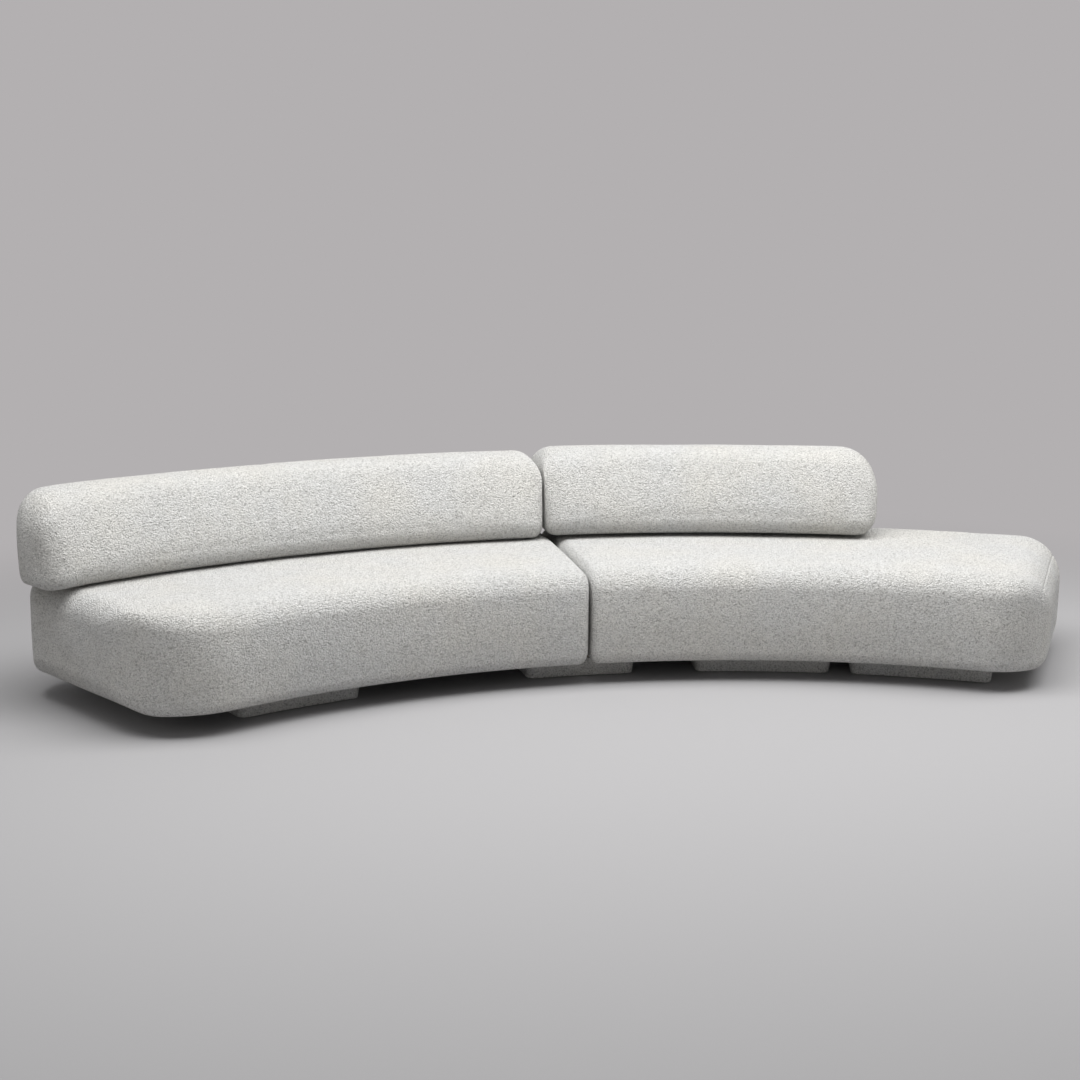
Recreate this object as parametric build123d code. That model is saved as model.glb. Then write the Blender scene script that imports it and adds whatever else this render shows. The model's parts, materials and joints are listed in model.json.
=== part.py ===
from build123d import *

import math
import os
from collections import namedtuple

# A curved sofa: two padded seat modules on one ring, each with a padded back that slides
# along a track in the seat and lifts off its posts. Millimetres, angles from +X in degrees,
# every arc about one upright axis on the sitter's side.

# Ring plan
FRONT_RADIUS = 2844.0
SEAT_DEPTH = 923.0
JOINT_ANGLE = 90.75
LEFT_SWEEP = 32.85
RIGHT_SWEEP = 33.05
MODULE_GAP = 6.0

# Seat padding
UNDERSIDE = 74.0
SEAT_HEIGHT = 350.0
SEAT_TOP_EDGE = 84.0
SEAT_BOTTOM_EDGE = 48.0
SEAT_JOINT_EDGE = 46.0
SEAT_CROWN = 10.0
SEAT_BULGE = 7.0

# Back padding
BACK_THICKNESS = 396.0
BACK_OVERHANG = 9.0
BACK_LEAN = 70.0
BACK_TOP_EDGE = 125.0
BACK_BOTTOM_EDGE = 60.0
BACK_CROWN = 5.0
BACK_BULGE = 8.0
BACK_TAIL_SHARE = 0.64
BACKS_MEET_ANGLE = 91.55
BACK_GAP = 6.0
LEFT_BACK_SWEEP = 32.85
RIGHT_BACK_SWEEP = 22.05
LEFT_BACK_LIFT = 3.0
RIGHT_BACK_LIFT = 10.0
LEFT_BACK_HEIGHT = 314.0
RIGHT_BACK_HEIGHT = 319.0

# Cloth and foam
CLOTH = 3.0
FOAM_GAP = 0.5
SMALLEST_EDGE = 20.0
SMALLEST_BOW = 1.0
END_STEPS = 4
MIDDLE_STEPS = 7
HEM = 80.0
DUST_CLOTH = 1.0
DUST_LAP = 15.0
SKIN_GAP = 0.3

# Timber frame of a seat
FRAME_INSET = 62.0
FRAME_END_INSET = 250.0
FRAME_JOINT_INSET = 66.0
BASE_BOARD = 15.0
RAIL = 18.0
RIB_HEIGHT = 158.0
RIB_COUNT = 3
STRAP_WIDTH = 50.0
STRAP = 2.0
STRAPS_PER_BAY = 3
STRAP_SEAT = 30.0
STRAP_CLEAR = 16.0
CUT_GAP = 0.2

# Track, carriage and posts
TRACK_WIDTH = 60.0
TRACK_HEIGHT = 40.0
TRACK_WALL = 3.0
STOP_LENGTH = 16.0
POST_DIAMETER = 20.0
POST_ROOM = 3.0
LEFT_POST_SPREAD = 16.0
RIGHT_POST_SPREAD = 6.5
RIGHT_POST_SHIFT = 4.35
LEFT_SLIDE = 2.0
RIGHT_SLIDE = 11.5
SHOE_LENGTH = 90.0
SHOE_HEIGHT = 17.0
SHOE_GAP = 0.4
BAR_ROOM = 7.0
BAR_HEIGHT = 12.0
TRACK_SCREWS = 8
TRACK_SCREW_HEAD = 10.0
TRACK_SCREW_SHANK = 5.0
TRACK_SCREW_LENGTH = 16.0
TRACK_SCREW_HEAD_HEIGHT = 2.5
TRACK_SCREW_OFFSET = 14.0

# Frame of a back
CORE_MARGIN = 20.0
CORE_END_INSET = 170.0
CORE_BOARD = 18.0
SPINE_OFFSET = 24.0
SPINE_HEIGHT = 200.0
GUSSET_DEPTH = 50.0
GUSSET_HEIGHT = 130.0
GUSSET_COUNT = 4
SOCKET_WALL = 4.7
SOCKET_HEIGHT = 120.0
SOCKET_CAP = 6.0
SOCKET_GAP = 0.3

# Feet: first and last angle of each block
LEFT_FOOT = (107.2, 115.9)
JOINT_FOOT = (87.0, 94.7)
MIDDLE_FOOT = (72.75, 82.3)
RIGHT_FOOT = (61.4, 71.1)
FOOT_SETBACK = 138.0
FOOT_REAR_SETBACK = 175.0
FOOT_EDGE = 30.0
FOOT_HEM = 3.0
GLIDE_DIAMETER = 36.0
GLIDE_HEIGHT = 4.0
GLIDE_INSET = 60.0
FOOT_SCREW = 8.0
FOOT_SCREW_REACH = 12.0
FOOT_SCREW_DEPTH = 40.0
FOOT_SCREW_INSET = 150.0

# Pins that hold the right seat on the shared foot
PIN_DIAMETER = 12.0
PIN_STAND = 30.0
PIN_ROOT = 25.0
PIN_EDGE = 20.0
PIN_INSET = 90.0
BUSH_WALL = 3.6
BUSH_GAP = 0.4

# Sizes worked out from the ones above
REAR_RADIUS = FRONT_RADIUS + SEAT_DEPTH
MIDDLE_RADIUS = (FRONT_RADIUS + REAR_RADIUS) / 2
BACK_REAR = REAR_RADIUS + BACK_OVERHANG
BACK_FRONT = BACK_REAR - BACK_THICKNESS
TRACK_RADIUS = (BACK_FRONT + BACK_REAR) / 2
SEAT_TOP = UNDERSIDE + SEAT_HEIGHT
SEAT_CREST = SEAT_TOP + SEAT_CROWN
BASE_BOTTOM = UNDERSIDE + CLOTH
BASE_TOP = BASE_BOTTOM + BASE_BOARD
RIB_TOP = BASE_TOP + RIB_HEIGHT
DECK_TOP = RIB_TOP + RAIL
TRACK_TOP = DECK_TOP + TRACK_HEIGHT
FRAME_FRONT = FRONT_RADIUS + FRAME_INSET
FRAME_REAR = REAR_RADIUS - FRAME_INSET
DUST_BOTTOM = UNDERSIDE - SKIN_GAP - DUST_CLOTH
FOOT_FRONT = FRONT_RADIUS + FOOT_SETBACK
FOOT_REAR = REAR_RADIUS - FOOT_REAR_SETBACK
SLOT_WIDTH = POST_DIAMETER + 2 * POST_ROOM
BAR_WIDTH = TRACK_WIDTH - 2 * (TRACK_WALL + BAR_ROOM)
CORE_WIDTH = BACK_THICKNESS - 2 * (BACK_BOTTOM_EDGE + CORE_MARGIN)
SOCKET_DIAMETER = POST_DIAMETER + 2 * (SOCKET_GAP + SOCKET_WALL)
BUSH_DIAMETER = PIN_DIAMETER + 2 * (BUSH_GAP + BUSH_WALL)

SoftBlock = namedtuple("SoftBlock", "front rear bottom top start end first last edges crown bulge lean")
Edges = namedtuple("Edges", "top bottom")
End = namedtuple("End", "front rear top bottom")

# Radii at the ends of the padding: front and rear corner in plan, top and bottom edge
SEAT_JOINT_END = End(SEAT_JOINT_EDGE, SEAT_JOINT_EDGE, SEAT_JOINT_EDGE, SEAT_JOINT_EDGE)
LEFT_SEAT_END = End(340.0, 190.0, 75.0, 100.0)
RIGHT_SEAT_END = End(235.0, 195.0, 145.0, 42.0)
BACK_INNER_END = End(70.0, 70.0, 78.0, 46.0)
LEFT_BACK_END = End(80.0, BACK_TAIL_SHARE * BACK_THICKNESS, 140.0, 25.0)
RIGHT_BACK_END = End(102.0, 102.0, 155.0, 77.0)

# Most that a bowed face may rise, as a share of its width
BOW_LIMIT = 0.25

pieces = {}


def arc_angle(length, radius):
    """Angle that an arc of this length takes at this radius."""
    return math.degrees(length / radius)


def polar(radius, angle, height=0.0):
    turn = math.radians(angle)
    return Vector(radius * math.cos(turn), radius * math.sin(turn), height)


def ring_solid(corners, start, end):
    """Turn a closed outline of (radius, height) corners about the axis from start to end."""
    outline = make_face(Polyline(*[(radius, 0, height) for radius, height in corners], close=True))
    return Rot(0, 0, start) * revolve(outline, Axis.Z, end - start)


def ring_block(front, rear, bottom, top, start, end):
    corners = [(front, bottom), (rear, bottom), (rear, top), (front, top)]
    return ring_solid(corners, start, end)


def radial_board(front, rear, bottom, top, angle, thickness):
    """Flat board that stands or lies along a radius."""
    board = Box(rear - front, thickness, top - bottom)
    return Rot(0, 0, angle) * Pos((front + rear) / 2, 0, (bottom + top) / 2) * board


def upright(radius, angle, diameter, bottom, top):
    """Upright rod on the ring."""
    rod = Cylinder(diameter / 2, top - bottom)
    return Pos(polar(radius, angle, (bottom + top) / 2)) * rod


def spread(first, last, count):
    """Evenly spaced values from first to last."""
    return [first + (last - first) * step / (count - 1) for step in range(count)]


def group(solids):
    return Compound(children=[solid for shape in solids for solid in shape.solids()])


def draw_in(distance, radius):
    """How far a rounded edge lies inside the full size, this distance from the end."""
    left = max(radius - distance, 0.0)
    return radius - math.sqrt(radius**2 - left**2)


def bow(first, first_radius, last, last_radius, rise):
    """Start, middle and end of an outward arc that touches two corner circles."""
    travel = (last - first).normalized()
    outward = Vector(-travel.Y, travel.X)
    span = (last - first).length
    rise = min(rise, span * BOW_LIMIT)
    radius = (span**2 / 4 + rise**2) / (2 * rise) + (first_radius + last_radius) / 2
    to_first = radius - first_radius
    to_last = radius - last_radius
    along = (to_first**2 - to_last**2 + span**2) / (2 * span)
    centre = first + travel * along - outward * math.sqrt(to_first**2 - along**2)
    start = first + (first - centre).normalized() * first_radius
    end = last + (last - centre).normalized() * last_radius
    middle = centre + ((start - centre) + (end - centre)).normalized() * radius
    return start, middle, end


def corner_arc(centre, radius, start, end):
    return start, centre + ((start - centre) + (end - centre)).normalized() * radius, end


def soft_section(angle, front, rear, bottom, top, top_edge, bottom_edge, crown, bulge, lean):
    """Outline of the padding in the radial plane: crowned top, full sides, flat underside."""
    top_front = Vector(front + lean + top_edge, top - top_edge)
    top_rear = Vector(rear - top_edge, top - top_edge)
    low_front = Vector(front + bottom_edge, bottom + bottom_edge)
    low_rear = Vector(rear - bottom_edge, bottom + bottom_edge)
    crown_arc = bow(top_front, top_edge, top_rear, top_edge, crown)
    rear_arc = bow(top_rear, top_edge, low_rear, bottom_edge, bulge)
    front_arc = bow(low_front, bottom_edge, top_front, top_edge, bulge)
    sole = (Vector(low_rear.X, bottom), Vector(low_front.X, bottom))
    arcs = [
        crown_arc,
        corner_arc(top_rear, top_edge, crown_arc[2], rear_arc[0]),
        rear_arc,
        corner_arc(low_rear, bottom_edge, rear_arc[2], sole[0]),
        corner_arc(low_front, bottom_edge, sole[1], front_arc[0]),
        front_arc,
        corner_arc(top_front, top_edge, front_arc[2], crown_arc[0]),
    ]
    edges = [ThreePointArc(*[polar(point.X, angle, point.Y) for point in arc]) for arc in arcs]
    edges.insert(4, Line(*[polar(point.X, angle, point.Y) for point in sole]))
    return Wire(edges)


def end_stations(radii):
    """Distances from an end at which its rounding is drawn, closer together towards the end."""
    return [max(radii) * (1 - math.cos(turn)) for turn in spread(0.0, math.pi / 2, END_STEPS + 1)]


def soft_form(block, inset=0.0):
    """Padding lofted along the ring and drawn in at both ends; an inset gives the same form smaller."""
    front = block.front + inset
    rear = block.rear - inset
    bottom = block.bottom + inset
    top = block.top - inset
    middle = (front + rear) / 2
    start = block.start + arc_angle(inset, middle)
    end = block.end - arc_angle(inset, middle)
    length = math.radians(end - start) * middle
    stations = end_stations(block.first)
    stations += spread(max(block.first), length - max(block.last), MIDDLE_STEPS + 1)[1:-1]
    stations += [length - station for station in reversed(end_stations(block.last))]
    sections = []
    for station in stations:
        end_radii = block.first if station < length / 2 else block.last
        reach = min(station, length - station)
        front_pull = draw_in(reach, end_radii.front)
        rear_pull = draw_in(reach, end_radii.rear)
        full = 1 - max(front_pull / end_radii.front, rear_pull / end_radii.rear)
        top_edge = SMALLEST_EDGE + (block.edges.top - inset - SMALLEST_EDGE) * full
        bottom_edge = SMALLEST_EDGE + (block.edges.bottom - inset - SMALLEST_EDGE) * full
        sections.append(soft_section(
            start + arc_angle(station, middle),
            front + front_pull,
            rear - rear_pull,
            bottom + draw_in(reach, end_radii.bottom),
            top - draw_in(reach, end_radii.top),
            top_edge,
            bottom_edge,
            max(block.crown * full, SMALLEST_BOW),
            max(block.bulge * full, SMALLEST_BOW),
            block.lean * full,
        ))
    return Solid.make_loft(sections, ruled=True)


def screw(head, shank, length, head_height, gap=0.0):
    """Flush-head screw with the top of its head at the origin; a gap gives its hole."""
    top = Pos(0, 0, -head_height / 2) * Cylinder(head / 2 + gap, head_height)
    stem = Pos(0, 0, -length / 2) * Cylinder(shank / 2 + gap, length)
    return top + stem


def track_screw_set(start, end, gap=0.0):
    """Screws in a zigzag along the track floor."""
    floor = DECK_TOP + TRACK_WALL
    screws = []
    for number, angle in enumerate(spread(start, end, TRACK_SCREWS)):
        side = TRACK_SCREW_OFFSET if number % 2 else -TRACK_SCREW_OFFSET
        shape = screw(TRACK_SCREW_HEAD, TRACK_SCREW_SHANK, TRACK_SCREW_LENGTH, TRACK_SCREW_HEAD_HEIGHT, gap)
        screws.append(Pos(polar(TRACK_RADIUS + side, angle, floor)) * shape)
    return screws


def track_profile():
    """Corners of the C section: a floor, two walls and two lips beside the slot."""
    inner = TRACK_RADIUS - TRACK_WIDTH / 2
    outer = TRACK_RADIUS + TRACK_WIDTH / 2
    low = DECK_TOP + TRACK_WALL
    high = TRACK_TOP - TRACK_WALL
    slot_in = TRACK_RADIUS - SLOT_WIDTH / 2
    slot_out = TRACK_RADIUS + SLOT_WIDTH / 2
    return [
        (inner, DECK_TOP), (outer, DECK_TOP), (outer, TRACK_TOP), (slot_out, TRACK_TOP),
        (slot_out, high), (outer - TRACK_WALL, high), (outer - TRACK_WALL, low),
        (inner + TRACK_WALL, low), (inner + TRACK_WALL, high), (slot_in, high),
        (slot_in, TRACK_TOP), (inner, TRACK_TOP),
    ]


def make_carriage(side, middle, post_spread, back_bottom):
    """Bar on two glide shoes in the track, with the two posts that hold a back."""
    posts = [middle - post_spread / 2, middle + post_spread / 2]
    half_shoe = arc_angle(SHOE_LENGTH / 2, TRACK_RADIUS)
    shoe_half_width = TRACK_WIDTH / 2 - TRACK_WALL - SHOE_GAP
    shoe_bottom = DECK_TOP + TRACK_WALL + SHOE_GAP
    shoe_top = shoe_bottom + SHOE_HEIGHT
    bar_top = shoe_top + BAR_HEIGHT
    post_top = back_bottom + CLOTH + SOCKET_HEIGHT - SOCKET_CAP - SOCKET_GAP
    pieces[f"{side}_carriage_shoes"] = group([
        ring_block(TRACK_RADIUS - shoe_half_width, TRACK_RADIUS + shoe_half_width, shoe_bottom, shoe_top,
                   angle - half_shoe, angle + half_shoe)
        for angle in posts
    ])
    pieces[f"{side}_carriage_bar"] = ring_block(
        TRACK_RADIUS - BAR_WIDTH / 2, TRACK_RADIUS + BAR_WIDTH / 2, shoe_top, bar_top,
        posts[0] - half_shoe, posts[1] + half_shoe)
    pieces[f"{side}_carriage_posts"] = group([
        upright(TRACK_RADIUS, angle, POST_DIAMETER, bar_top, post_top) for angle in posts
    ])


def make_seat(side, block, frame_start, frame_end, post_start, post_end, holes):
    """Cover, foam, timber frame, webbing, track and dust cloth of one seat."""
    base = ring_block(FRAME_FRONT, FRAME_REAR, BASE_BOTTOM, BASE_TOP, frame_start, frame_end)
    front_rail = ring_block(FRAME_FRONT, FRAME_FRONT + RAIL, BASE_TOP, DECK_TOP, frame_start, frame_end)
    rear_rail = ring_block(FRAME_REAR - RAIL, FRAME_REAR, BASE_TOP, DECK_TOP, frame_start, frame_end)
    between = (FRAME_FRONT + RAIL + CUT_GAP, FRAME_REAR - RAIL - CUT_GAP)
    half_rail = arc_angle(RAIL / 2, FRAME_FRONT)
    board_angles = spread(frame_start + half_rail, frame_end - half_rail, RIB_COUNT + 2)
    boards = [radial_board(*between, BASE_TOP, RIB_TOP, angle, RAIL) for angle in board_angles]
    strap_ends = (FRAME_FRONT + CUT_GAP, TRACK_RADIUS - TRACK_WIDTH / 2 - STRAP_CLEAR)
    bed = ring_block(strap_ends[1] - STRAP_SEAT, between[1], RIB_TOP, DECK_TOP, frame_start, frame_end)

    straps = []
    for low, high in zip(board_angles[:-1], board_angles[1:]):
        step = (high - low) / STRAPS_PER_BAY
        for number in range(STRAPS_PER_BAY):
            angle = low + step * (number + 0.5)
            straps.append(radial_board(*strap_ends, DECK_TOP, DECK_TOP + STRAP, angle, STRAP_WIDTH))

    post_room = arc_angle(SLOT_WIDTH / 2, TRACK_RADIUS)
    stop = arc_angle(STOP_LENGTH, TRACK_RADIUS)
    shoe_room = arc_angle(SHOE_LENGTH / 2 + SHOE_GAP, TRACK_RADIUS)
    run_start = post_start - shoe_room
    run_end = post_end + shoe_room
    track_start = run_start - stop
    track_end = run_end + stop
    stop_half_width = TRACK_WIDTH / 2 - TRACK_WALL - CUT_GAP
    stop_ends = (TRACK_RADIUS - stop_half_width, TRACK_RADIUS + stop_half_width,
                 DECK_TOP + TRACK_WALL, TRACK_TOP - TRACK_WALL)
    track = ring_solid(track_profile(), track_start, track_end)
    stops = [ring_block(*stop_ends, track_start, run_start), ring_block(*stop_ends, run_end, track_end)]
    screw_edge = arc_angle(TRACK_SCREW_HEAD, TRACK_RADIUS)
    screw_run = (max(run_start, frame_start + screw_edge), min(run_end, frame_end - screw_edge))
    screws = track_screw_set(*screw_run)
    screw_holes = track_screw_set(*screw_run, CUT_GAP)

    slot = ring_block(TRACK_RADIUS - SLOT_WIDTH / 2, TRACK_RADIUS + SLOT_WIDTH / 2, TRACK_TOP,
                      SEAT_CREST + SEAT_CROWN, post_start - post_room, post_end + post_room)
    end_room = arc_angle(FOAM_GAP, FRAME_FRONT)
    frame_room = ring_block(FRAME_FRONT - FOAM_GAP, FRAME_REAR + FOAM_GAP, UNDERSIDE - CLOTH,
                            DECK_TOP + STRAP + FOAM_GAP, frame_start - end_room, frame_end + end_room)
    track_room = ring_block(TRACK_RADIUS - TRACK_WIDTH / 2 - FOAM_GAP, TRACK_RADIUS + TRACK_WIDTH / 2 + FOAM_GAP,
                            DECK_TOP, TRACK_TOP + FOAM_GAP, track_start - end_room, track_end + end_room)
    lap_turn = arc_angle(DUST_LAP, MIDDLE_RADIUS)
    mouth = ring_block(block.front + HEM, block.rear - HEM, UNDERSIDE - CLOTH, UNDERSIDE + 2 * CLOTH,
                       frame_start + lap_turn, frame_end - lap_turn)
    dust = ring_block(block.front + HEM - DUST_LAP, block.rear - HEM + DUST_LAP, DUST_BOTTOM,
                      DUST_BOTTOM + DUST_CLOTH, frame_start, frame_end)

    pieces[f"{side}_seat_cover"] = soft_form(block) - soft_form(block, CLOTH) - mouth - slot
    pieces[f"{side}_seat_foam"] = soft_form(block, CLOTH + FOAM_GAP) - frame_room - track_room - slot
    pieces[f"{side}_seat_base_panel"] = base - holes
    pieces[f"{side}_seat_front_rail"] = front_rail
    pieces[f"{side}_seat_rear_rail"] = rear_rail
    pieces[f"{side}_seat_end_rails"] = group([boards[0], boards[-1]])
    pieces[f"{side}_seat_ribs"] = group(boards[1:-1])
    pieces[f"{side}_seat_webbing"] = group(straps)
    pieces[f"{side}_seat_track_bed"] = bed - screw_holes
    pieces[f"{side}_seat_track"] = track - screw_holes
    pieces[f"{side}_seat_track_stops"] = group(stops)
    pieces[f"{side}_seat_track_screws"] = group(screws)
    pieces[f"{side}_seat_dust_cover"] = dust - holes


def make_back(side, block, middle, post_spread):
    """Cover, foam and timber core of one back, with the sockets that drop over the posts."""
    board_bottom = block.bottom + CLOTH
    board_top = board_bottom + CORE_BOARD
    end_turn = arc_angle(CORE_END_INSET, TRACK_RADIUS)
    core = (block.start + end_turn, block.end - end_turn)
    posts = [middle - post_spread / 2, middle + post_spread / 2]
    spine_front = TRACK_RADIUS + SPINE_OFFSET
    spine_rear = spine_front + CORE_BOARD
    gusset_ends = (spine_rear + CUT_GAP, spine_rear + CUT_GAP + GUSSET_DEPTH)
    gusset_angles = spread(*core, GUSSET_COUNT + 2)[1:-1]

    def board(gap=0.0):
        return ring_block(TRACK_RADIUS - CORE_WIDTH / 2 - gap, TRACK_RADIUS + CORE_WIDTH / 2 + gap,
                          board_bottom - gap, board_top + gap, *core)

    def spine(gap=0.0):
        return ring_block(spine_front - gap, spine_rear + gap, board_top, board_top + SPINE_HEIGHT + gap, *core)

    def gussets(gap=0.0):
        return [radial_board(gusset_ends[0], gusset_ends[1] + gap, board_top,
                             board_top + GUSSET_HEIGHT + gap, angle, CORE_BOARD + 2 * gap)
                for angle in gusset_angles]

    def sockets(gap=0.0):
        return [upright(TRACK_RADIUS, angle, SOCKET_DIAMETER + 2 * gap, board_bottom,
                        board_bottom + SOCKET_HEIGHT + gap) for angle in posts]

    bores = [upright(TRACK_RADIUS, angle, POST_DIAMETER + 2 * SOCKET_GAP, board_bottom - CLOTH,
                     board_bottom + SOCKET_HEIGHT - SOCKET_CAP) for angle in posts]
    mouths = [upright(TRACK_RADIUS, angle, SOCKET_DIAMETER, block.bottom - CLOTH,
                      board_bottom + FOAM_GAP) for angle in posts]

    pieces[f"{side}_back_cover"] = soft_form(block) - soft_form(block, CLOTH) - mouths
    pieces[f"{side}_back_foam"] = (soft_form(block, CLOTH + FOAM_GAP) - board(FOAM_GAP) - spine(FOAM_GAP)
                                   - gussets(FOAM_GAP) - sockets(FOAM_GAP))
    pieces[f"{side}_back_base_board"] = board() - sockets(CUT_GAP)
    pieces[f"{side}_back_spine"] = spine()
    pieces[f"{side}_back_gussets"] = group(gussets())
    pieces[f"{side}_back_sockets"] = group([outer - bore for outer, bore in zip(sockets(), bores)])


def foot_block(span, inset, bottom, top):
    """Block along the ring with rounded upright edges."""
    turn = arc_angle(inset, FOOT_FRONT)
    block = ring_block(FOOT_FRONT + inset, FOOT_REAR - inset, bottom, top, span[0] + turn, span[1] - turn)
    return fillet(block.edges().filter_by(Axis.Z), FOOT_EDGE - inset)


def foot_points(span, inset):
    """Four places on a foot, the same distance in from its edges."""
    turn = arc_angle(inset, FOOT_FRONT)
    return [(radius, angle) for radius in (FOOT_FRONT + inset, FOOT_REAR - inset)
            for angle in (span[0] + turn, span[1] - turn)]


def make_foot(name, span, holes):
    """Timber block with a cloth skin round its sides."""
    core = foot_block(span, CLOTH + SKIN_GAP, GLIDE_HEIGHT, DUST_BOTTOM)
    skin = foot_block(span, 0.0, FOOT_HEM, DUST_BOTTOM) - foot_block(span, CLOTH, 0.0, UNDERSIDE)
    pieces[f"{name}_foot_core"] = core - holes
    pieces[f"{name}_foot_cover"] = skin


def glides(spans):
    return group([upright(radius, angle, GLIDE_DIAMETER, 0.0, GLIDE_HEIGHT)
                  for span in spans for radius, angle in foot_points(span, GLIDE_INSET)])


def foot_screws(places, gap=0.0):
    """Screws that come up through the feet into the base panel."""
    return [upright(radius, angle, FOOT_SCREW + 2 * gap, FOOT_SCREW_DEPTH, BASE_BOTTOM + FOOT_SCREW_REACH)
            for radius, angle in places]


def joint_rods(diameter, bottom, top):
    """Pair of upright rods over the shared foot, on the right seat's side of the joint."""
    angle = JOINT_FOOT[0] + arc_angle(PIN_EDGE, FOOT_FRONT)
    return [upright(radius, angle, diameter, bottom, top)
            for radius in (FOOT_FRONT + PIN_INSET, FOOT_REAR - PIN_INSET)]


# Padding blocks
module_half_gap = arc_angle(MODULE_GAP / 2, MIDDLE_RADIUS)
back_half_gap = arc_angle(BACK_GAP / 2, TRACK_RADIUS)
seat_edges = Edges(SEAT_TOP_EDGE, SEAT_BOTTOM_EDGE)
back_edges = Edges(BACK_TOP_EDGE, BACK_BOTTOM_EDGE)
left_seat = SoftBlock(FRONT_RADIUS, REAR_RADIUS, UNDERSIDE, SEAT_TOP, JOINT_ANGLE + module_half_gap,
                      JOINT_ANGLE + LEFT_SWEEP, SEAT_JOINT_END, LEFT_SEAT_END, seat_edges,
                      SEAT_CROWN, SEAT_BULGE, 0.0)
right_seat = SoftBlock(FRONT_RADIUS, REAR_RADIUS, UNDERSIDE, SEAT_TOP, JOINT_ANGLE - RIGHT_SWEEP,
                       JOINT_ANGLE - module_half_gap, RIGHT_SEAT_END, SEAT_JOINT_END, seat_edges,
                       SEAT_CROWN, SEAT_BULGE, 0.0)
left_bottom = SEAT_CREST + LEFT_BACK_LIFT
right_bottom = SEAT_CREST + RIGHT_BACK_LIFT
left_back_start = BACKS_MEET_ANGLE + back_half_gap
right_back_end = BACKS_MEET_ANGLE - back_half_gap
left_back = SoftBlock(BACK_FRONT, BACK_REAR, left_bottom, left_bottom + LEFT_BACK_HEIGHT, left_back_start,
                      left_back_start + LEFT_BACK_SWEEP, BACK_INNER_END, LEFT_BACK_END, back_edges,
                      BACK_CROWN, BACK_BULGE, BACK_LEAN)
right_back = SoftBlock(BACK_FRONT, BACK_REAR, right_bottom, right_bottom + RIGHT_BACK_HEIGHT,
                       right_back_end - RIGHT_BACK_SWEEP, right_back_end, RIGHT_BACK_END, BACK_INNER_END,
                       back_edges, BACK_CROWN, BACK_BULGE, BACK_LEAN)

# Feet, screws and pins
left_screw_places = foot_points(LEFT_FOOT, FOOT_SCREW_INSET)
left_screw_places += [(radius, JOINT_FOOT[1] - arc_angle(GLIDE_INSET, FOOT_FRONT))
                      for radius in (FOOT_FRONT + FOOT_SCREW_INSET, FOOT_REAR - FOOT_SCREW_INSET)]
right_screw_places = foot_points(MIDDLE_FOOT, FOOT_SCREW_INSET) + foot_points(RIGHT_FOOT, FOOT_SCREW_INSET)
left_holes = foot_screws(left_screw_places, CUT_GAP)
right_holes = foot_screws(right_screw_places, CUT_GAP)
pin_ends = (DUST_BOTTOM - PIN_ROOT, UNDERSIDE + PIN_STAND)
pin_holes = joint_rods(PIN_DIAMETER + 2 * CUT_GAP, *pin_ends)
bush_holes = joint_rods(BUSH_DIAMETER + 2 * CUT_GAP, *pin_ends)
bush_bores = joint_rods(PIN_DIAMETER + 2 * BUSH_GAP, *pin_ends)
bushes = joint_rods(BUSH_DIAMETER, DUST_BOTTOM + SKIN_GAP, BASE_TOP)
make_foot("left", LEFT_FOOT, left_holes)
make_foot("joint", JOINT_FOOT, left_holes + pin_holes)
make_foot("middle", MIDDLE_FOOT, right_holes)
make_foot("right", RIGHT_FOOT, right_holes)
pieces["left_glides"] = glides([LEFT_FOOT, JOINT_FOOT])
pieces["right_glides"] = glides([MIDDLE_FOOT, RIGHT_FOOT])
pieces["left_foot_screws"] = group(foot_screws(left_screw_places))
pieces["right_foot_screws"] = group(foot_screws(right_screw_places))
pieces["joint_pins"] = group(joint_rods(PIN_DIAMETER, *pin_ends))
pieces["joint_bushes"] = group([bush - bore for bush, bore in zip(bushes, bush_bores)])

# Seats, carriages and backs
joint_turn = arc_angle(FRAME_JOINT_INSET, MIDDLE_RADIUS)
end_turn = arc_angle(FRAME_END_INSET, MIDDLE_RADIUS)
left_middle = (left_back.start + left_back.end) / 2
right_middle = (right_back.start + right_back.end) / 2 + RIGHT_POST_SHIFT
make_seat("left", left_seat, left_seat.start + joint_turn, left_seat.end - end_turn,
          left_middle - LEFT_POST_SPREAD / 2, left_middle + LEFT_POST_SPREAD / 2 + LEFT_SLIDE,
          left_holes)
make_seat("right", right_seat, right_seat.start + end_turn, right_seat.end - joint_turn,
          right_middle - RIGHT_POST_SPREAD / 2 - RIGHT_SLIDE, right_middle + RIGHT_POST_SPREAD / 2,
          right_holes + bush_holes)
make_carriage("left", left_middle, LEFT_POST_SPREAD, left_bottom)
make_carriage("right", right_middle, RIGHT_POST_SPREAD, right_bottom)
make_back("left", left_back, left_middle, LEFT_POST_SPREAD)
make_back("right", right_back, right_middle, RIGHT_POST_SPREAD)

# The origin is on the floor under the middle of the whole outline
boxes = [shape.bounding_box() for shape in pieces.values()]
centre_x = (min(box.min.X for box in boxes) + max(box.max.X for box in boxes)) / 2
centre_y = (min(box.min.Y for box in boxes) + max(box.max.Y for box in boxes)) / 2
os.makedirs("parts", exist_ok=True)
for node, shape in pieces.items():
    export_step(Pos(-centre_x, -centre_y, 0) * shape, f"parts/{node}.step")
print("ring axis at", round(-centre_x, 3), round(-centre_y, 3))
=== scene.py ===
import json
import math
from collections import namedtuple

import bmesh
import bpy
import numpy as np
from mathutils import Matrix, Vector, kdtree, noise


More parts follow.
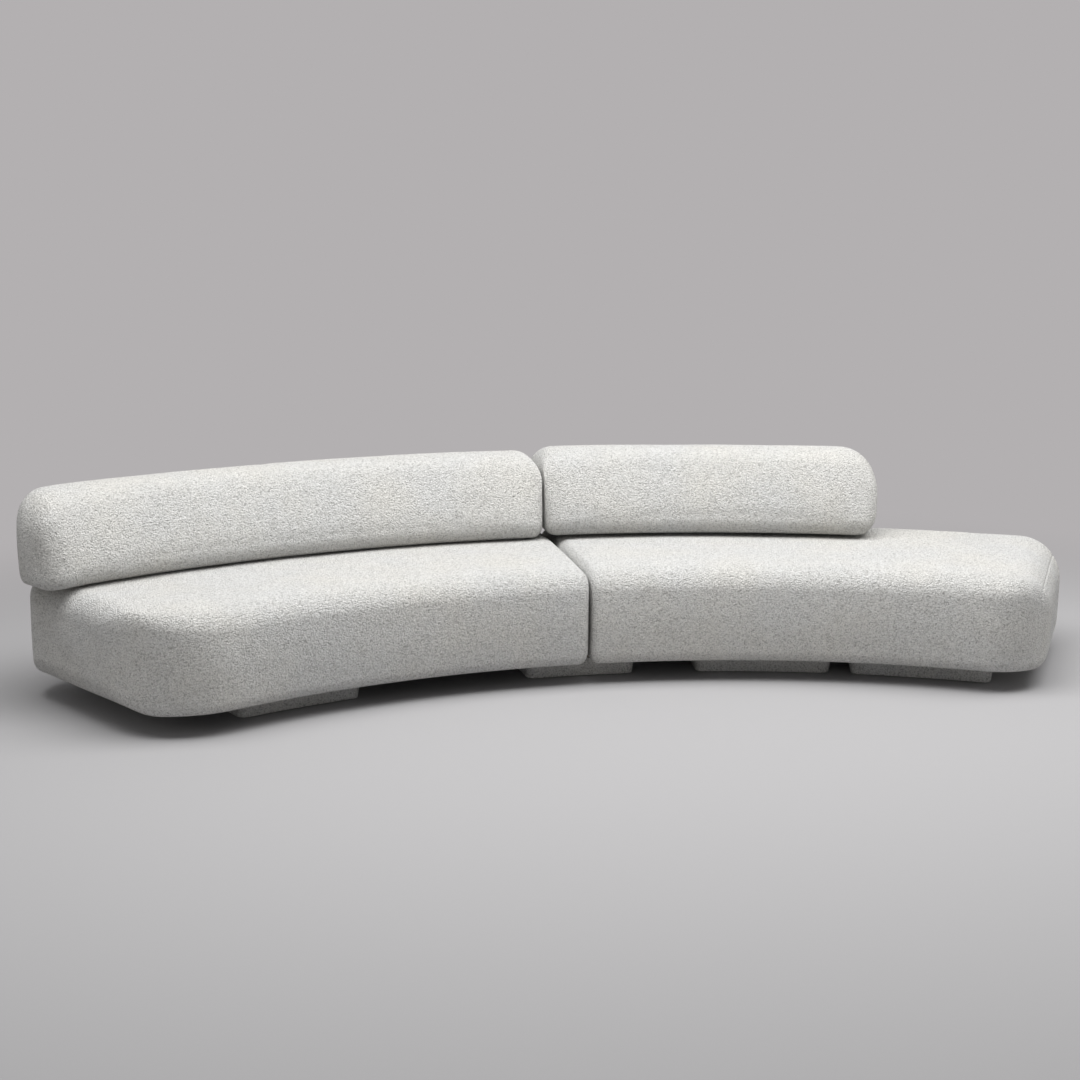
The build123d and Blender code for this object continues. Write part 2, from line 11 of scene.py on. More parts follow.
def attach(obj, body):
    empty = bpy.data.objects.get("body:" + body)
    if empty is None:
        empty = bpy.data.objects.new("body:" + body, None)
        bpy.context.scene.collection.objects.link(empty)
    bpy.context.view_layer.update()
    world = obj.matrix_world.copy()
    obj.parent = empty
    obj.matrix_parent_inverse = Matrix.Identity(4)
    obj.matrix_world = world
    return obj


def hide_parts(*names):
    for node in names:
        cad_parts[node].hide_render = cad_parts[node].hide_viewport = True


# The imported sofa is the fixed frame. Metres throughout, angles about the ring's axis in degrees.
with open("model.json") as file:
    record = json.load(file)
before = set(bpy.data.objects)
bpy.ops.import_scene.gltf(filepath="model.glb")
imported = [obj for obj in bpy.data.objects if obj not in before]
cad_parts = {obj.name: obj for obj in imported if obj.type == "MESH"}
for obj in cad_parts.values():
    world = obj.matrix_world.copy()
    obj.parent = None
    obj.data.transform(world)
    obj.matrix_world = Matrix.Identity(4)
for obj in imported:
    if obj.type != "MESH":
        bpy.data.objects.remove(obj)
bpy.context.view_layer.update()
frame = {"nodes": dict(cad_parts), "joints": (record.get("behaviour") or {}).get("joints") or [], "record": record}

# Padding of the seats
SEAT_TOP_EDGE = 0.084
SEAT_BOTTOM_EDGE = 0.048
SEAT_CROWN = 0.010
SEAT_BULGE = 0.007

# Padding of the backs
BACK_TOP_EDGE = 0.125
BACK_BOTTOM_EDGE = 0.060
BACK_CROWN = 0.005
BACK_BULGE = 0.008
BACK_LEAN = 0.070

# Least rounding and bow left at an end
LEAST_EDGE = 0.020
LEAST_BOW = 0.001

# Mesh of the padding
STATION_STEP = 0.011
CROWN_POINTS = 84
SOLE_POINTS = 60
CORNER_POINTS = 15
SIDE_POINTS = 28
END_STATIONS = 30
FACE_RINGS = 16

# Points of the crown nearer to an edge of the slot than this share of their spacing are left out
SLOT_CLEAR = 0.3

# Cloth simulation
VOXEL = 0.018
PRESSURE = 4.0
TENSION = 10.0
FRAMES = 20
MOVE_CAP = 0.022
SOLE_HOLD = 0.012
CARRY_POINTS = 8
CARRY_SOFTEN = 0.001

# How far the padding may swell past its CAD cover, and over what distance it slows down before that
SWELL_ROOM = 0.007
TOP_ROOM = 0.001
SLOW_DOWN = 0.010

# Seams
SEAM_DEPTH = 0.0022
SEAM_WIDTH = 0.0038
SEAM_PULL = 0.0016
SEAM_PULL_WIDTH = 0.030
TOP_SEAM_END = 0.6
SEAM_FADE_START = 0.08
SEAM_FADE_END = 0.20
SEAM_FAINT = 0.25
SEAM_STEPS = (0.0015, 0.003, 0.0048, 0.007, 0.010, 0.014)
SEAM_CLEAR = 1.2 * SEAM_STEPS[-1]

# Places of the seams: radians round the corner of the free end, degrees about the ring's axis
FREE_END_SEAM = 0.52
SEAT_TOP_SEAM = 69.6
LEFT_BACK_SEAM = 108.9

# Unevenness of the upholstery
WAVE_SIZE = 0.34
WAVE_HEIGHT = 0.0022
RIPPLE_SIZE = 0.11
RIPPLE_HEIGHT = 0.0008
WAVE_SHIFTS = {"left_seat": 3.0, "right_seat": 7.0, "left_back": 11.0, "right_back": 17.0}

# Feet
FOOT_CORNER = 0.030
FOOT_GROW = 0.003
FOOT_FLARE = 0.009
FOOT_CLOTH = 0.003
FOOT_HEM_ROUND = 0.0022
FOOT_LEVELS = 12
FOOT_HEM_STEPS = 4
FOOT_CORNER_STEPS = 10
FOOT_SIDE_PIECES = 24
FOOT_BODIES = {
    "left": "left_module",
    "joint": "left_module",
    "middle": "right_module",
    "right": "right_module",
}

# Holes for the posts
SLOT_ROOM = 0.003
SOCKET_ROOM = 0.0006
SOCKET_DEPTH = 0.008
SOCKET_SIDES = 48

# Looped cloth: scales of its patterns, how far loops wander, and relief as shares of the height of a loop
LOOP_SCALE = 280.0
STIR_SCALE = 190.0
CLUMP_SCALE = 150.0
HAIR_SCALE = 620.0
PATCH_SCALE = 3.2
LOOP_WANDER = 0.006
LOOP_HEIGHT = 0.0046
CLUMP_SHARE = 2.0
HAIR_SHARE = 0.35

# Floor and background
FLOOR_SIZE = 60.0
FLOOR_COLOR = (0.36, 0.355, 0.36)
FADE_CENTRE = (0.0, -1.2, 0.0)
FADE_START = 2.5
FADE_END = 4.6
WALL_COLOR = (0.451, 0.434, 0.440)

# Light
LAMP_PLACE = Vector((0.7, -0.75, 3.8))
LAMP_SIZE = (7.8, 2.4)
LAMP_POWER = 320.0
WORLD_STRENGTH = 0.33

# Camera: its place from the ring's axis, angles in degrees, focal length in millimetres
CAMERA_FROM_AXIS = Vector((-1.4331, -2.8240, 1.7842))
CAMERA_HEADING = 11.957
CAMERA_PITCH = 11.98
CAMERA_ROLL = -0.551
CAMERA_LENS = 55.4

Soft = namedtuple("Soft", "front rear bottom top start end first last edges crown bulge lean")
Edges = namedtuple("Edges", "top bottom")
End = namedtuple("End", "front rear top bottom bulge room")
Extent = namedtuple("Extent", "inner outer start end bottom top")

# Radii at the ends of the padding (front and rear corner in plan, top and bottom edge), how far each end face
# bows out, and how far it may swell past the CAD cover
SEAT_JOINT_END = End(0.046, 0.046, 0.046, 0.046, 0.002, 0.001)
LEFT_SEAT_END = End(0.340, 0.190, 0.075, 0.100, 0.018, 0.020)
RIGHT_SEAT_END = End(0.235, 0.195, 0.145, 0.042, 0.010, 0.010)
BACK_INNER_END = End(0.070, 0.070, 0.078, 0.046, 0.002, 0.001)
LEFT_BACK_END = End(0.080, 0.253, 0.140, 0.025, 0.006, 0.008)
RIGHT_BACK_END = End(0.102, 0.102, 0.155, 0.077, 0.006, 0.008)

slides = {joint["name"]: joint for joint in frame["joints"]}
ring_axis = Vector(slides["right_back_slide"]["pos_m"])


def ring_place(radius, angle, height):
    """Frame coordinates of places given about the ring's axis."""
    turn = np.radians(angle)
    x = ring_axis.x + radius * np.cos(turn)
    y = ring_axis.y + radius * np.sin(turn)
    return np.stack(np.broadcast_arrays(x, y, height), axis=-1)


def ring_values(points):
    """Radius, angle and height of points about the ring's axis."""
    x = points[:, 0] - ring_axis.x
    y = points[:, 1] - ring_axis.y
    return np.hypot(x, y), np.degrees(np.arctan2(y, x)), points[:, 2]


def ring_extent(node):
    """Radii, angles and heights that a CAD node spans about the ring's axis."""
    radius, angle, height = ring_values(mesh_points(frame["nodes"][node].data))
    return Extent(radius.min(), radius.max(), angle.min(), angle.max(), height.min(), height.max())


def draw_in(distance, radius):
    """How far a rounded edge lies inside the full size, this distance from the end."""
    left = max(radius - distance, 0.0)
    return radius - math.sqrt(max(radius**2 - left**2, 0.0))


def bow(first, first_radius, last, last_radius, rise):
    """Centre, radius and end angles of an outward arc that touches two corner circles."""
    span = np.linalg.norm(last - first)
    travel = (last - first) / span
    outward = np.array([-travel[1], travel[0]])
    radius = (span**2 / 4 + rise**2) / (2 * rise) + (first_radius + last_radius) / 2
    to_first = radius - first_radius
    to_last = radius - last_radius
    along = (to_first**2 - to_last**2 + span**2) / (2 * span)
    centre = first + travel * along - outward * math.sqrt(to_first**2 - along**2)
    angles = [math.atan2(*reversed(point - centre)) for point in (first, last)]
    return centre, radius, angles


def arc_points(centre, radius, first, last, shares):
    """Points of an arc that runs clockwise from one angle to another."""
    while last > first:
        last -= 2 * math.pi
    turns = first + (last - first) * np.asarray(shares)
    return np.stack([centre[0] + radius * np.cos(turns), centre[1] + radius * np.sin(turns)], axis=1)


def even_shares(count):
    return np.arange(count) / count


def section(front, rear, bottom, top, top_edge, bottom_edge, crown, bulge, lean, crown_shares):
    """Outline of the padding as (radius, height) points: crown, rear side, sole, front side."""
    top_front = np.array([front + lean + top_edge, top - top_edge])
    top_rear = np.array([rear - top_edge, top - top_edge])
    low_front = np.array([front + bottom_edge, bottom + bottom_edge])
    low_rear = np.array([rear - bottom_edge, bottom + bottom_edge])
    roof, roof_radius, roof_turns = bow(top_front, top_edge, top_rear, top_edge, crown)
    back, back_radius, back_turns = bow(top_rear, top_edge, low_rear, bottom_edge, bulge)
    face, face_radius, face_turns = bow(low_front, bottom_edge, top_front, top_edge, bulge)
    corner = even_shares(CORNER_POINTS)
    side = even_shares(SIDE_POINTS)
    down = -math.pi / 2
    sole = even_shares(SOLE_POINTS)[:, None]
    sole_first = low_rear - [0, bottom_edge]
    sole_last = low_front - [0, bottom_edge]
    return np.concatenate([
        arc_points(roof, roof_radius, *roof_turns, crown_shares),
        arc_points(top_rear, top_edge, roof_turns[1], back_turns[0], corner),
        arc_points(back, back_radius, *back_turns, side),
        arc_points(low_rear, bottom_edge, back_turns[1], down, corner),
        sole_first + (sole_last - sole_first) * sole,
        arc_points(low_front, bottom_edge, down, face_turns[0], corner),
        arc_points(face, face_radius, *face_turns, side),
        arc_points(top_front, top_edge, face_turns[1], roof_turns[0], corner),
    ])


def station_section(block, station, length, crown_shares):
    """Outline at one place along the padding, drawn in towards the nearer end."""
    end = block.first if station < length / 2 else block.last
    reach = min(station, length - station)
    front_pull = draw_in(reach, end.front)
    rear_pull = draw_in(reach, end.rear)
    full = 1 - max(front_pull / end.front, rear_pull / end.rear)
    front = block.front + front_pull
    rear = block.rear - rear_pull
    top_edge = LEAST_EDGE + (block.edges.top - LEAST_EDGE) * full
    bottom_edge = LEAST_EDGE + (block.edges.bottom - LEAST_EDGE) * full
    return section(
        front,
        rear,
        block.bottom + draw_in(reach, end.bottom),
        block.top - draw_in(reach, end.top),
        top_edge,
        bottom_edge,
        max(block.crown * full, LEAST_BOW),
        max(block.bulge * full, LEAST_BOW),
        block.lean * full,
        crown_shares,
    )


def slot_shares(block, slot):
    """Places along the crown, evenly spaced and with two on the edges of the slot."""
    top_front = np.array([block.front + block.edges.top, block.top - block.edges.top])
    top_rear = np.array([block.rear - block.edges.top, block.top - block.edges.top])
    centre, radius, turns = bow(top_front, block.edges.top, top_rear, block.edges.top, block.crown)
    edges = [(turns[0] - math.acos((place - centre[0]) / radius)) / (turns[0] - turns[1])
             for place in (slot.inner, slot.outer)]
    even = even_shares(CROWN_POINTS)
    clear = [share for share in even if min(abs(share - edge) for edge in edges) > SLOT_CLEAR / CROWN_POINTS]
    return np.array(sorted(clear + edges))


class Padding:
    """Grid of a soft block: stations along the ring by points round the section, and two end faces."""

    def __init__(self, block, end_seams=(), panel_seams=(), top_seams=(), slot=None):
        self.block = block
        self.slot = slot
        self.middle = (block.front + block.rear) / 2
        self.length = math.radians(block.end - block.start) * self.middle
        self.crown_shares = slot_shares(block, slot) if slot else even_shares(CROWN_POINTS)
        self.seams = [self.end_seam(*seam) for seam in end_seams]
        self.seams += [self.station_of(angle) for angle in panel_seams]
        self.top_seams = [self.station_of(angle) for angle in top_seams]
        self.stations = self.spaced_stations(end_seams, [*panel_seams, *top_seams])
        self.points = self.grid()

    def station_of(self, angle):
        return math.radians(angle - self.block.start) * self.middle

    def end_seam(self, end, turn):
        """Station of a seam that lies this far round the corner of an end."""
        reach = self.end_reach(end) * (1 - math.cos(turn))
        return reach if end == "first" else self.length - reach

    def end_reach(self, end):
        """Length over which an end is drawn in."""
        radii = self.block.first if end == "first" else self.block.last
        return max(radii.front, radii.rear, radii.top, radii.bottom)

    def spaced_stations(self, end_seams, panel_seams):
        """Close stations round the ends and beside the seams, even ones between."""
        first = self.end_reach("first")
        last = self.end_reach("last")
        turns = {"first": list(np.linspace(0, math.pi / 2, END_STATIONS)),
                 "last": list(np.linspace(0, math.pi / 2, END_STATIONS))}
        for end, turn in end_seams:
            corner = first if end == "first" else last
            near = [turn + side * step / corner for step in SEAM_STEPS for side in (-1, 1)] + [turn]
            clear = [t for t in turns[end] if abs(t - turn) * corner > SEAM_CLEAR or t in (0, math.pi / 2)]
            turns[end] = clear + [t for t in near if 0 < t < math.pi / 2]
        count = round((self.length - first - last) / STATION_STEP)
        even = list(np.linspace(first, self.length - last, count + 1)[1:-1])
        marks = []
        for angle in panel_seams:
            seam = self.station_of(angle)
            even = [s for s in even if abs(s - seam) > SEAM_CLEAR]
            marks += [seam] + [seam + side * step for step in SEAM_STEPS for side in (-1, 1)]
        if self.slot:
            ends = [self.station_of(self.slot.start), self.station_of(self.slot.end)]
            even = [s for s in even if min(abs(s - end) for end in ends) > STATION_STEP / 2]
            marks += ends
        near_first = [first * (1 - math.cos(t)) for t in turns["first"]]
        near_last = [self.length - last * (1 - math.cos(t)) for t in turns["last"]]
        return np.array(sorted(near_first + even + marks + near_last))

    def place(self, outline, station):
        """Ring outline points in the frame's coordinates."""
        turn = math.radians(self.block.start) + station / self.middle
        x = ring_axis.x + outline[:, 0] * math.cos(turn)
        y = ring_axis.y + outline[:, 0] * math.sin(turn)
        return np.stack([x, y, outline[:, 1]], axis=1)

    def grid(self):
        outlines = [station_section(self.block, s, self.length, self.crown_shares) for s in self.stations]
        self.round_count = len(outlines[0])
        return np.array([self.place(o, s) for o, s in zip(outlines, self.stations)])

    def face_points(self, end):
        """Rings of an end face, from just inside its edge to its middle, a little bowed out."""
        bulge = self.block.first.bulge if end == "first" else self.block.last.bulge
        edge = self.points[0 if end == "first" else -1]
        middle = edge.mean(axis=0)
        inward = self.points[1 if end == "first" else -2].mean(axis=0) - middle
        outward = -inward / np.linalg.norm(inward)
        rings = []
        for share in np.arange(1, FACE_RINGS) / FACE_RINGS:
            rise = bulge * math.sin(share * math.pi / 2) ** 2
            rings.append(edge + (middle - edge) * share + outward * rise)
        return np.array(rings), middle + outward * bulge

    def mesh(self, name):
        """Closed mesh of the grid and its end faces."""
        count = self.round_count
        rows = len(self.stations)
        points = [self.points.reshape(-1, 3)]
        faces = []
        ahead = (np.arange(count) + 1) % count
        for row in range(rows - 1):
            low = row * count
            faces += [(low + j, low + k, low + count + k, low + count + j) for j, k in enumerate(ahead)]
        total = rows * count
        for end, edge_row in (("first", 0), ("last", rows - 1)):
            rings, middle = self.face_points(end)
            points += [rings.reshape(-1, 3), middle[None]]
            starts = [edge_row * count] + [total + ring * count for ring in range(FACE_RINGS - 1)]
            for outer, inner in zip(starts[:-1], starts[1:]):
                faces += [(outer + j, outer + k, inner + k, inner + j) for j, k in enumerate(ahead)]
            centre = total + (FACE_RINGS - 1) * count
            faces += [(starts[-1] + j, starts[-1] + k, centre) for j, k in enumerate(ahead)]
            total = centre + 1
        mesh = bpy.data.meshes.new(name)
        mesh.from_pydata(np.concatenate(points).tolist(), [], faces)
        fix_normals(mesh)
        return mesh


def fix_normals(mesh):
    shape = bmesh.new()
    shape.from_mesh(mesh)
    bmesh.ops.recalc_face_normals(shape, faces=shape.faces)
    shape.to_mesh(mesh)
    shape.free()


def link(name, mesh):
    thing = bpy.data.objects.new(name, mesh)
    bpy.context.scene.collection.objects.link(thing)
    return thing


def smooth(thing):
    thing.data.polygons.foreach_set("use_smooth", [True] * len(thing.data.polygons))


def mesh_points(mesh):
    flat = np.zeros(len(mesh.vertices) * 3)
    mesh.vertices.foreach_get("co", flat)
    return flat.reshape(-1, 3)


def mesh_normals(mesh):
    flat = np.zeros(len(mesh.vertices) * 3)
    mesh.vertices.foreach_get("normal", flat)
    return flat.reshape(-1, 3)


def set_points(mesh, points):
    mesh.vertices.foreach_set("co", points.reshape(-1).astype(np.float32))
    mesh.update()


def evaluated_points(thing):
    seen = thing.evaluated_get(bpy.context.evaluated_depsgraph_get())
    return mesh_points(seen.data)


def simulate(piece, bottom):
    """Press the padding out against its cloth: rest points of a coarse skin and how each one moved."""
    skin = link(piece.name + "_skin", piece.data.copy())
    remesh = skin.modifiers.new("remesh", "REMESH")
    remesh.mode = "VOXEL"
    remesh.voxel_size = VOXEL
    coarse = bpy.data.meshes.new_from_object(skin.evaluated_get(bpy.context.evaluated_depsgraph_get()))
    skin.modifiers.clear()
    skin.data = coarse
    rest = mesh_points(coarse)
    held = skin.vertex_groups.new(name="held")
    held.add([int(index) for index in np.nonzero(rest[:, 2] < bottom + SOLE_HOLD)[0]], 1.0, "REPLACE")
    cloth = skin.modifiers.new("cloth", "CLOTH")
    cloth.settings.vertex_group_mass = held.name
    cloth.settings.use_pressure = True
    cloth.settings.uniform_pressure_force = PRESSURE
    cloth.settings.tension_stiffness = TENSION
    cloth.settings.compression_stiffness = TENSION
    cloth.settings.shear_stiffness = TENSION / 2
    cloth.settings.effector_weights.gravity = 0
    cloth.point_cache.frame_start = 1
    cloth.point_cache.frame_end = FRAMES
    for number in range(1, FRAMES + 1):
        bpy.context.scene.frame_set(number)
    moved = evaluated_points(skin) - rest
    bpy.context.scene.frame_set(1)
    bpy.data.objects.remove(skin)
    furthest = np.linalg.norm(moved, axis=1).max()
    return rest, moved * min(1, MOVE_CAP / furthest)


def carry(points, rest, moved):
    """Movement at each point, from the nearest points of the simulated skin."""
    tree = kdtree.KDTree(len(rest))
    for index, point in enumerate(rest):
        tree.insert(point, index)
    tree.balance()
    found = np.zeros_like(points)
    for index, point in enumerate(points):
        near = tree.find_n(point, CARRY_POINTS)
        weights = np.array([1 / (distance + CARRY_SOFTEN) ** 2 for _, _, distance in near])
        found[index] = weights @ moved[[number for _, number, _ in near]] / weights.sum()
    return found


def uneven(points, start):
    """Slight hand-made unevenness: long waves and short ripples, from this start in the pattern."""
    shift = Vector((start, 0, 0))
    waves = np.array([noise.noise(Vector(p) / WAVE_SIZE + shift) for p in points])
    ripples = np.array([noise.noise(Vector(p) / RIPPLE_SIZE - shift) for p in points])
    return waves * WAVE_HEIGHT + ripples * RIPPLE_HEIGHT


def seam_depth(padding, normals):
    """How deep each vertex lies under the cloth beside the seams.

    A seam gets fainter down the sides, and a top seam ends where the top turns down.
    """
    depth = np.zeros(len(normals))
    gridded = padding.points.shape[0] * padding.round_count
    upward = np.clip((normals[:gridded, 2] - TOP_SEAM_END) / (1 - TOP_SEAM_END), 0, 1)
    below = padding.block.top - padding.points[:, :, 2].reshape(-1)
    fading = np.clip((SEAM_FADE_END - below) / (SEAM_FADE_END - SEAM_FADE_START), SEAM_FAINT, 1)
    for seam in [*padding.seams, *padding.top_seams]:
        line = padding.points[np.argmin(abs(padding.stations - seam))]
        away = np.linalg.norm(padding.points - line[None], axis=2).reshape(-1)
        groove = SEAM_DEPTH * np.exp(-(away / SEAM_WIDTH) ** 2)
        groove += SEAM_PULL * np.exp(-(away / SEAM_PULL_WIDTH) ** 2)
        depth[:gridded] += groove * (upward if seam in padding.top_seams else fading)
    return depth


def cut_slot(piece, padding, floor):
    """Open the slot in the crown and line it with walls down to the track."""
    count = padding.round_count
    slot = padding.slot
    ends = [padding.station_of(angle) for angle in (slot.start, slot.end)]
    rows = [int(np.argmin(abs(padding.stations - end))) for end in ends]
    middle_row = padding.points[(rows[0] + rows[1]) // 2]
    radii = np.hypot(middle_row[:, 0] - ring_axis.x, middle_row[:, 1] - ring_axis.y)
    crown = radii[:len(padding.crown_shares)]
    columns = [int(np.argmin(abs(crown - radius))) for radius in (slot.inner, slot.outer)]
    shape = bmesh.new()
    shape.from_mesh(piece.data)
    shape.verts.ensure_lookup_table()
    inside = {row * count + column for row in range(rows[0], rows[1] + 1)
              for column in range(columns[0], columns[1] + 1)}
    gone = [face for face in shape.faces if all(vertex.index in inside for vertex in face.verts)]
    bmesh.ops.delete(shape, geom=gone, context="FACES")
    rim = [edge for edge in shape.edges if edge.is_boundary]
    walls = bmesh.ops.extrude_edge_only(shape, edges=rim)["geom"]
    for vertex in walls:
        if isinstance(vertex, bmesh.types.BMVert):
            vertex.co.z = floor
    low_rim = [edge for edge in shape.edges if edge.is_boundary]
    bmesh.ops.contextual_create(shape, geom=low_rim)
    bmesh.ops.recalc_face_normals(shape, faces=shape.faces)
    shape.to_mesh(piece.data)
    shape.free()


def slowed(values, limit, sign):
    """Values that slow down towards a limit and never pass it; a sign of -1 makes it a lower limit."""
    over = sign * (values - limit) / SLOW_DOWN + 1
    eased = limit + sign * SLOW_DOWN * (np.tanh(np.maximum(over, 0)) - 1)
    return np.where(over > 0, eased, values)


def hold_back(points, block, span):
    """Keep swollen tops and ends within their room, so neighbours don't press into each other."""
    radius, angle, height = ring_values(points)
    per_metre = math.degrees(1 / ((block.front + block.rear) / 2))
    slow_turn = (angle - block.start) / per_metre
    slow_turn = slowed(slow_turn, (span.start - block.start) / per_metre - block.first.room, -1)
    slow_turn = slowed(slow_turn, (span.end - block.start) / per_metre + block.last.room, 1)
    height = slowed(height, span.top + TOP_ROOM, 1)
    return ring_place(radius, block.start + slow_turn * per_metre, height)


def upholster(name, body, padding, material):
    """One padded piece: swollen under its cloth, seamed, slightly uneven."""
    nodes = [f"{name}_cover", f"{name}_foam"]
    piece = link(name, padding.mesh(name))
    rest, moved = simulate(piece, padding.block.bottom)
    points = mesh_points(piece.data)
    normals = mesh_normals(piece.data)
    outward = np.maximum((carry(points, rest, moved) * normals).sum(axis=1), 0)
    swell = SWELL_ROOM * np.tanh(outward / SWELL_ROOM)
    swollen = points + normals * swell[:, None]
    set_points(piece.data, hold_back(swollen, padding.block, ring_extent(nodes[0])))
    points = mesh_points(piece.data)
    normals = mesh_normals(piece.data)
    above = np.clip((points[:, 2] - padding.block.bottom) / SOLE_HOLD, 0, 1)
    lift = uneven(points, WAVE_SHIFTS[name]) * above - seam_depth(padding, normals)
    set_points(piece.data, points + normals * lift[:, None])
    piece.data.materials.append(material)
    smooth(piece)
    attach(piece, body)
    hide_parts(*nodes)
    return piece


def open_sockets(piece, side):
    """Open the sole of a back where the sockets of its two posts stand."""
    points = mesh_points(frame["nodes"][f"{side}_back_sockets"].data)
    angles = ring_values(points)[1]
    between = (angles.min() + angles.max()) / 2
    for socket in (points[angles < between], points[angles > between]):
        low = socket.min(axis=0)
        high = socket.max(axis=0)
        radius = (high[0] - low[0]) / 2 + SOCKET_ROOM
        middle = Matrix.Translation(Vector((low + high) / 2))
        rod = bmesh.new()
        bmesh.ops.create_cone(rod, cap_ends=True, segments=SOCKET_SIDES, radius1=radius, radius2=radius,
                              depth=high[2] - low[2] + 2 * SOCKET_DEPTH, matrix=middle)
        mesh = bpy.data.meshes.new("rod")
        rod.to_mesh(mesh)
        rod.free()
        cutter = link("rod", mesh)
        cut = piece.modifiers.new("cut", "BOOLEAN")
        cut.operation = "DIFFERENCE"
        cut.solver = "EXACT"
        cut.object = cutter
        seen = piece.evaluated_get(bpy.context.evaluated_depsgraph_get())
        piece.data = bpy.data.meshes.new_from_object(seen)
        piece.modifiers.clear()
        bpy.data.objects.remove(cutter)


def foot_ring(span, grow, height):
    """Points round a foot's plan with rounded corners, grown by this much, at one height."""
    middle = (span.inner + span.outer) / 2
    half_depth = (span.outer - span.inner) / 2 + grow
    half_width = math.radians(span.end - span.start) * middle / 2 + grow
    corner = FOOT_CORNER + grow
    turns = np.linspace(0, math.pi / 2, FOOT_CORNER_STEPS)
    outline = []
    for number, (side, depth) in enumerate(((1, 1), (-1, 1), (-1, -1), (1, -1))):
        angle = turns + number * math.pi / 2
        outline.append(np.stack([side * (half_width - corner) + corner * np.cos(angle),
                                 depth * (half_depth - corner) + corner * np.sin(angle)], axis=1))
    outline = np.concatenate(outline)
    ahead = np.roll(outline, -1, axis=0)
    filled = []
    for here, there in zip(outline, ahead):
        steps = FOOT_SIDE_PIECES if np.linalg.norm(there - here) > FOOT_CORNER else 1
        filled += [here + (there - here) * step / steps for step in range(steps)]
    filled = np.array(filled)
    angles = (span.start + span.end) / 2 + np.degrees(filled[:, 0] / middle)
    return ring_place(middle + filled[:, 1], angles, height)


def wrap_foot(name, body, material):
    """Cloth wrap of a foot: wider at the top, with a rolled hem, open at both ends round the timber block."""
    span = ring_extent(f"{name}_foot_cover")
    hem = span.bottom + FOOT_HEM_ROUND
    rings = [foot_ring(span, FOOT_GROW + FOOT_FLARE * share, hem + (span.top - hem) * share)
             for share in np.linspace(1, 0, FOOT_LEVELS)]
    for turn in np.linspace(0, math.pi / 2, FOOT_HEM_STEPS)[1:]:
        rings.append(foot_ring(span, FOOT_GROW - FOOT_HEM_ROUND * (1 - math.cos(turn)),
                               hem - FOOT_HEM_ROUND * math.sin(turn)))
    rings += [foot_ring(span, -FOOT_CLOTH, hem), foot_ring(span, -FOOT_CLOTH, span.top)]
    count = len(rings[0])
    faces = []
    for ring in range(len(rings)):
        low = ring * count
        high = (ring + 1) % len(rings) * count
        faces += [(low + j, low + (j + 1) % count, high + (j + 1) % count, high + j) for j in range(count)]
    mesh = bpy.data.meshes.new(f"{name}_foot_wrap")
    mesh.from_pydata(np.concatenate(rings).tolist(), [], faces)
    fix_normals(mesh)
    mesh.materials.append(material)
    wrap = link(f"{name}_foot_wrap", mesh)
    smooth(wrap)
    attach(wrap, body)
    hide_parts(f"{name}_foot_cover")


def add_node(tree, kind, **inputs):
    """New shader node; inputs are socket names with spaces as underscores, given values or other sockets."""
    node = tree.nodes.new(kind)
    for name, value in inputs.items():
        socket = node.inputs[name.replace("_", " ")]
        if isinstance(value, bpy.types.NodeSocket):
            tree.links.new(value, socket)
        else:
            socket.default_value = value
    return node


def calc(tree, kind, operation, *values):
    """Result of a math or vector math node; values are numbers, vectors or sockets."""
    node = tree.nodes.new(kind)
    node.operation = operation
    for socket, value in zip(node.inputs, values):
        if isinstance(value, bpy.types.NodeSocket):
            tree.links.new(value, socket)
        else:
            socket.default_value = value
    return node.outputs[0]


def multiply_colors(tree, first, second, factor=1.0):
    """Product of two colours, through the colour sockets of a mix node."""
    node = tree.nodes.new("ShaderNodeMix")
    node.data_type = "RGBA"
    node.blend_type = "MULTIPLY"
    node.inputs["Factor"].default_value = factor
    tree.links.new(first, node.inputs[6])
    tree.links.new(second, node.inputs[7])
    return node.outputs[2]


def new_material(name):
    material = bpy.data.materials.new(name)
    material.use_nodes = True
    return material, material.node_tree, material.node_tree.nodes["Principled BSDF"]


def ramp(tree, value, stops):
    """Colour that runs through these stops as the value rises."""
    node = tree.nodes.new("ShaderNodeValToRGB")
    elements = node.color_ramp.elements
    while len(elements) < len(stops):
        elements.new(0.5)
    for element, (place, color) in zip(elements, stops):
        element.position = place
        element.color = (*color, 1)
    tree.links.new(value, node.inputs["Fac"])
    return node.outputs["Color"]


